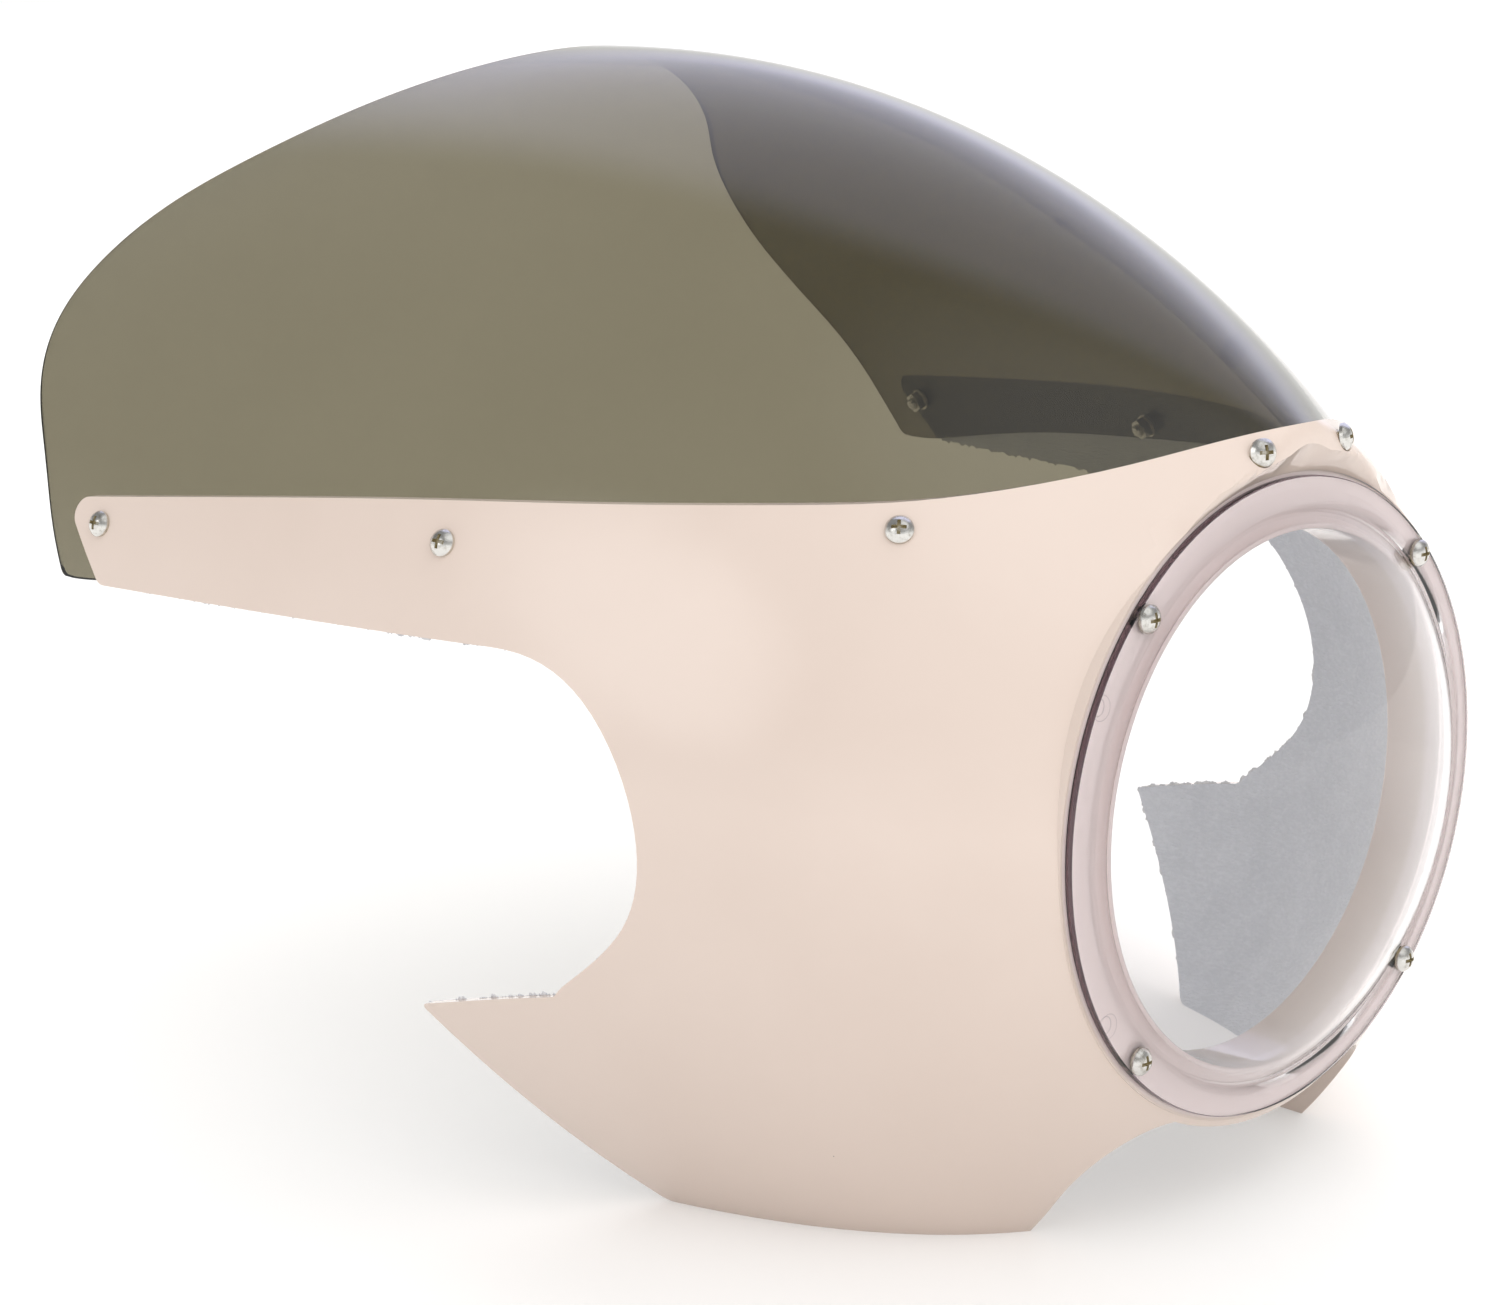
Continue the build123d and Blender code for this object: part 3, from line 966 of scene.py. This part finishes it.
@dataclass
class Cover:
    """Clear lamp cover: a profile turned about the lamp axis, closed at both poles."""

    finish: Finish
    name: str = "clear_cover"
    node: str = "headlight_cover"
    radius: float = 110.0
    wall: float = 2.5
    flange: float = 3.0
    sphere: float = 160.0
    apex_y: float = -37.5
    shoulder: float = 2.0
    rim_round: float = 0.6
    seat_gap: float = 0.05
    dome_steps: int = 60
    shoulder_steps: int = 8
    flange_steps: int = 8
    rim_steps: int = 6
    turns: int = 240

    def profile(self) -> tuple[Array, Array]:
        """Outer dome, shoulder, flange, rim, back face and inner dome, from pole to pole.

        The domes are arcs about one centre. The shoulder's arc touches the outer dome and the
        flange, so the cosine of the angle where it leaves the dome is
        (centre + flange + shoulder) / (sphere + shoulder).

        Returns:
            Radii and y, the poles left out.
        """
        centre = self.apex_y + self.sphere
        leave = math.acos((centre + self.flange + self.shoulder) / (self.sphere + self.shoulder))
        foot = (self.sphere + self.shoulder) * math.sin(leave)
        corner = self.radius - self.rim_round
        back = -self.seat_gap
        inner = self.sphere - self.wall
        dome = np.linspace(0.0, leave, self.dome_steps)[1:]
        bend = np.linspace(leave, 0.0, self.shoulder_steps)[1:]
        flat = np.linspace(foot, corner, self.flange_steps)[1:-1]
        quarter = np.linspace(0.0, math.pi / 2, self.rim_steps)
        hollow = np.linspace(math.acos((centre - back) / inner), 0.0, self.dome_steps)[:-1]
        r = (
            self.sphere * np.sin(dome),
            foot - self.shoulder * np.sin(bend),
            flat,
            corner + self.rim_round * np.sin(quarter),
            corner + self.rim_round * np.cos(quarter),
            inner * np.sin(hollow),
        )
        y = (
            centre - self.sphere * np.cos(dome),
            -self.flange - self.shoulder + self.shoulder * np.cos(bend),
            np.full_like(flat, -self.flange),
            -self.flange + self.rim_round * (1 - np.cos(quarter)),
            back - self.rim_round * (1 - np.sin(quarter)),
            centre - inner * np.cos(hollow),
        )
        return np.concatenate(r), np.concatenate(y)

    def build(self) -> bpy.types.Object:
        """Turns the profile: x = r * cos t, z = r * sin t, with a fan at each pole.

        Returns:
            The piece that stands for the solid cover.
        """
        r, y = self.profile()
        t = np.linspace(0.0, 2 * math.pi, self.turns, endpoint=False)
        x, z = np.outer(r, np.cos(t)), np.outer(r, np.sin(t))
        rings = np.stack([x, np.repeat(y[:, None], self.turns, axis=1), z], axis=-1)
        poles = np.array([[0.0, self.apex_y, 0.0], [0.0, self.apex_y + self.wall, 0.0]])
        points = np.concatenate([rings.reshape(-1, 3), poles])
        count = len(r) * self.turns
        last = count - self.turns
        k = np.arange(self.turns)
        following = (k + 1) % self.turns
        near = np.stack([np.full_like(k, count), following, k], axis=1)
        far = np.stack([np.full_like(k, count + 1), last + k, last + following], axis=1)
        faces = [grid_faces(len(r), self.turns, wrap=True), near, far]
        return make_piece(self.name, points, faces, self.finish, self.node)


@dataclass
class FrayedEdge:
    """Ragged mat past the cut edges of the shell, as a thin strip on its inner face.

    The ends and the knots of the cut-out are (y, z) in side view.
    """

    form: CowlForm
    finish: Finish
    name: str = "frayed_edge"
    wing_tip: Pair = (361.0, 56.5)
    cut_out: Knots = (
        (178, 56.5), (168, 55.8), (157.9, 53.5), (146, 47.6), (122.6, 19.7), (116.4, -3),
        (123.8, -31.5), (136, -44.8), (151.5, -57.5), (153.6, -59.5), (154.8, -61),
        (156.4, -61.9), (160.9, -62.9), (170, -65), (195, -71.2), (217, -77),
    )
    horn_foot: Pair = (149.5, -144.5)
    spacing: float = 0.35
    overlap: float = 0.7
    reach: float = 1.4
    thickness: float = 0.5
    section: int = 8
    mean: float = 0.4
    most: float = 1.2
    fine_run: int = 8
    fine_gain: float = 4.0
    broad_run: int = 25
    broad_gain: float = 2.5
    seed: int = 7

    def straight(self, start: Pair, end: Pair) -> Array:
        """Evenly spaced points (y, z) from start towards end."""
        share = np.arange(0.0, 1.0, self.spacing / math.dist(start, end))
        return np.array(start) + share[:, None] * np.subtract(end, start)

    def path(self) -> tuple[Array, Array]:
        """The wing's straight lower edge, the cut-out as a spline, then the horn's straight edge.

        Returns:
            Points (y, z) along the edge and unit vectors that point off the shell.
        """
        points = np.array(self.cut_out, dtype=float)
        length = np.append(0.0, np.cumsum(np.hypot(*np.diff(points, axis=0).T)))
        s = np.arange(0.0, length[-1], self.spacing)
        curve = np.stack([spline(tuple(zip(length, axis)), s) for axis in points.T], axis=1)
        wing = self.straight(self.wing_tip, self.cut_out[0])[:-1]
        horn = self.straight(self.cut_out[-1], self.horn_foot)
        line = np.concatenate([wing, curve, horn])
        along = np.gradient(line, axis=0)
        along /= np.linalg.norm(along, axis=1, keepdims=True)
        return line, np.stack([-along[:, 1], along[:, 0]], axis=1)

    def wave(self, draw: np.random.Generator, count: int, run: int) -> Array:
        """Random numbers about 0, each the mean of a run of draws from 0 to 1 less a half."""
        return np.convolve(draw.random(count + run - 1), np.ones(run) / run, mode="valid") - 0.5

    def build(self) -> bpy.types.Object:
        """Carries a thin oval along the edge, its outer end moved by seeded noise, on both sides.

        Returns:
            The piece.
        """
        line, off = self.path()
        count = len(line)
        turn = np.linspace(0.0, 2 * math.pi, self.section, endpoint=False)
        outwards = (1 + np.cos(turn)) / 2
        depth = self.form.wall - self.thickness * (1 + np.sin(turn)) / 2
        draw = np.random.default_rng(self.seed)
        sides = []
        for sign in (1.0, -1.0):
            fine = self.wave(draw, count, self.fine_run)
            broad = self.wave(draw, count, self.broad_run)
            share = self.mean + self.fine_gain * fine + self.broad_gain * broad
            tip = self.reach * np.clip(share, 0.0, self.most)
            offset = (self.overlap + tip)[:, None] * outwards - self.overlap
            place = line[:, None, :] + offset[..., None] * off[:, None, :]
            y, z = place[..., 0], place[..., 1]
            x = sign * (self.form.side(y, z, 0.0) - depth)
            sides.append(np.stack([x, y, z], axis=-1).reshape(-1, 3))
        ring = grid_faces(count, self.section, wrap=True)
        size = count * self.section
        start = np.arange(self.section)
        caps = np.array([start, size - 1 - start])
        faces = [ring, caps[:, ::-1], ring[:, ::-1] + size, caps + size]
        return make_piece(self.name, np.concatenate(sides), faces, self.finish)


@dataclass
class Fasteners:
    """Carried-over screws, washers and nuts, which share one finish."""

    finish: Finish
    nodes: tuple[str, ...] = (
        "screen_screws", "screen_washers", "screen_nuts",
        "cover_screws", "cover_washers", "cover_nuts",
    )

    def dress(self) -> None:
        """Gives each solid the finish and reports it."""
        material = self.finish.material()
        for name in self.nodes:
            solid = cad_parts[name]
            solid.data.materials.clear()
            solid.data.materials.append(material)
            LOG.info("dressed %s", name)


def direction(azimuth: float, elevation: float) -> Place:
    """Unit vector at angles in degrees: azimuth 0 is ahead of the lamp, 90 at the right hand."""
    turn, lift = math.radians(azimuth), math.radians(elevation)
    return math.sin(turn) * math.cos(lift), -math.cos(turn) * math.cos(lift), math.sin(lift)


@dataclass(frozen=True)
class Glow:
    """A soft round patch of light in the surroundings, full within one angle and gone at another.

    Strength is how bright it is as a light, gloss how bright it looks in reflections.
    """

    azimuth: float
    elevation: float
    inner: float
    outer: float
    strength: float
    gloss: float
    colour: Colour = WHITE

    def light(self, graph: Graph, way: Socket, glossy: Socket) -> Socket:
        """Its light in a direction.

        Args:
            graph: The world's nodes.
            way: The direction.
            glossy: 1 for a reflection, 0 otherwise.

        Returns:
            The light as a colour.
        """
        near = graph.vector("DOT_PRODUCT", way, direction(self.azimuth, self.elevation))
        edges = (math.cos(math.radians(angle)) for angle in (self.outer, self.inner))
        strength = graph.blend(glossy, self.strength, self.gloss)
        return graph.scaled(self.colour, graph.step(near, *edges, 0.0, strength))


@dataclass
class Studio:
    """Floor, light and camera."""

    floor_height: float
    floor_side: float = 30.0
    floor_colour: Colour = (0.76, 0.75, 0.74)
    floor_glow: float = 0.24
    lens: float = 76.71
    sensor: float = 36.0
    clip: Pair = (0.01, 100.0)
    eye: Place = (-0.8514, -0.6279, 0.2929)
    azimuth: float = -43.9263
    elevation: float = 13.0009
    roll: float = -0.55
    ambient: float = 0.64
    through_glass: float = 2.0
    gloss_overhead: float = 0.3
    backdrop_top: float = 24.0
    glows: tuple[Glow, ...] = (
        Glow(118.0, 42.0, 18.0, 46.0, 1.7, 0.0, (1.0, 0.99, 0.99)),
        Glow(118.0, 42.0, 28.0, 40.0, 0.0, 0.68, (0.92, 0.94, 1.32)),
        Glow(-5.0, 58.0, 8.0, 40.0, 0.9, 0.7),
        Glow(15.0, 20.0, 15.0, 50.0, 0.5, 0.1),
        Glow(-62.0, 22.0, 10.0, 58.0, 0.45, 0.07, (1.0, 0.99, 0.97)),
        Glow(-96.0, 24.0, 0.0, 21.0, 0.6, 1.5),
    )

    def floor(self) -> None:
        """A plain pale floor under the feet, with a little glow that only the eye sees."""
        half = self.floor_side / 2
        corners = [(-half, -half), (half, -half), (half, half), (-half, half)]
        mesh = bpy.data.meshes.new("studio_floor")
        mesh.from_pydata([(x, y, self.floor_height) for x, y in corners], [], [(0, 1, 2, 3)])
        plane = bpy.data.objects.new("studio_floor", mesh)
        bpy.context.scene.collection.objects.link(plane)
        material = bpy.data.materials.new("studio_floor")
        material.use_nodes = True
        graph = Graph(material.node_tree)
        path = graph.add("ShaderNodeLightPath").outputs
        seen = graph.math("ADD", path["Is Camera Ray"], path["Is Glossy Ray"])
        seen = graph.math("ADD", seen, path["Is Transmission Ray"], clamp=True)
        strength = graph.math("MULTIPLY", seen, self.floor_glow)
        glow = graph.add("ShaderNodeEmission", {"Color": WHITE, "Strength": strength})
        paint = graph.add("ShaderNodeBsdfDiffuse", {"Color": self.floor_colour})
        both = graph.add("ShaderNodeAddShader", {0: paint.outputs[0], 1: glow.outputs[0]})
        graph.add("ShaderNodeOutputMaterial", {"Surface": both.outputs[0]})
        mesh.materials.append(material)

    def light(self) -> None:
        """White to the eye and straight through glass, and soft light from all round.

        Reflections see white low down and a darker level above the backdrop. What comes through
        glass after a bounce is raised, as the clear sheets hold back too much of it.
        """
        world = bpy.data.worlds.new("studio")
        bpy.context.scene.world = world
        world.use_nodes = True
        graph = Graph(world.node_tree)
        way = graph.vector("NORMALIZE", graph.add("ShaderNodeTexCoord").outputs["Generated"])
        path = graph.add("ShaderNodeLightPath").outputs
        glossy, passed = path["Is Glossy Ray"], path["Is Transmission Ray"]
        height = graph.vector("DOT_PRODUCT", way, (0.0, 0.0, 1.0))
        top = math.sin(math.radians(self.backdrop_top))
        backdrop = graph.step(height, 0.0, top, 1.0, self.gloss_overhead)
        light = graph.scaled(WHITE, graph.blend(glossy, self.ambient, backdrop))
        for glow in self.glows:
            light = graph.vector("ADD", light, glow.light(graph, way, glossy))
        straight = graph.math("LESS_THAN", path["Diffuse Depth"], 0.5)
        bounced = graph.math("MULTIPLY", passed, graph.math("SUBTRACT", 1.0, straight))
        light = graph.scaled(light, graph.blend(bounced, 1.0, self.through_glass))
        seen = graph.math("ADD", path["Is Camera Ray"], passed, clamp=True)
        colour = graph.mix(graph.math("MULTIPLY", seen, straight), light, WHITE)
        sky = graph.add("ShaderNodeBackground", {"Color": colour, "Strength": 1.0})
        graph.add("ShaderNodeOutputWorld", {"Surface": sky.outputs[0]})

    def camera(self) -> None:
        """The photograph's viewpoint: a line of sight, then a roll about it."""
        turn, roll = math.radians(self.azimuth), math.radians(self.roll)
        back = Vector(direction(self.azimuth, self.elevation))
        right = Vector((math.cos(turn), math.sin(turn), 0.0))
        up = back.cross(right)
        right, up = (
            math.cos(roll) * right + math.sin(roll) * up,
            math.cos(roll) * up - math.sin(roll) * right,
        )
        data = bpy.data.cameras.new("camera")
        data.lens = self.lens
        data.sensor_width = self.sensor
        data.clip_start, data.clip_end = self.clip
        eye = bpy.data.objects.new("camera", data)
        eye.matrix_world = Matrix((right, up, back)).transposed().to_4x4()
        eye.location = self.eye
        bpy.context.scene.collection.objects.link(eye)
        bpy.context.scene.camera = eye

    def build(self) -> None:
        """Makes the floor, the light and the camera."""
        bpy.context.scene.view_settings.view_transform = "Standard"
        self.floor()
        self.light()
        self.camera()


def main() -> None:
    """Builds the studio, dresses the carried-over solids and makes the new surfaces."""
    logging.basicConfig(level=logging.INFO)
    Studio(floor_height=CAD_BOX[0].z).build()
    Fasteners(ZincPlate()).dress()
    form = CowlForm()
    sub_assemblies = (
        Shell(Gelcoat()),
        Screen(form, SmokedAcrylic()),
        Cover(ClearAcrylic()),
        FrayedEdge(form, FrayedMat()),
    )
    for sub_assembly in sub_assemblies:
        piece = sub_assembly.build()
        LOG.info("made %s with %d faces", piece.name, len(piece.data.polygons))


if __name__ == "__main__":
    main()
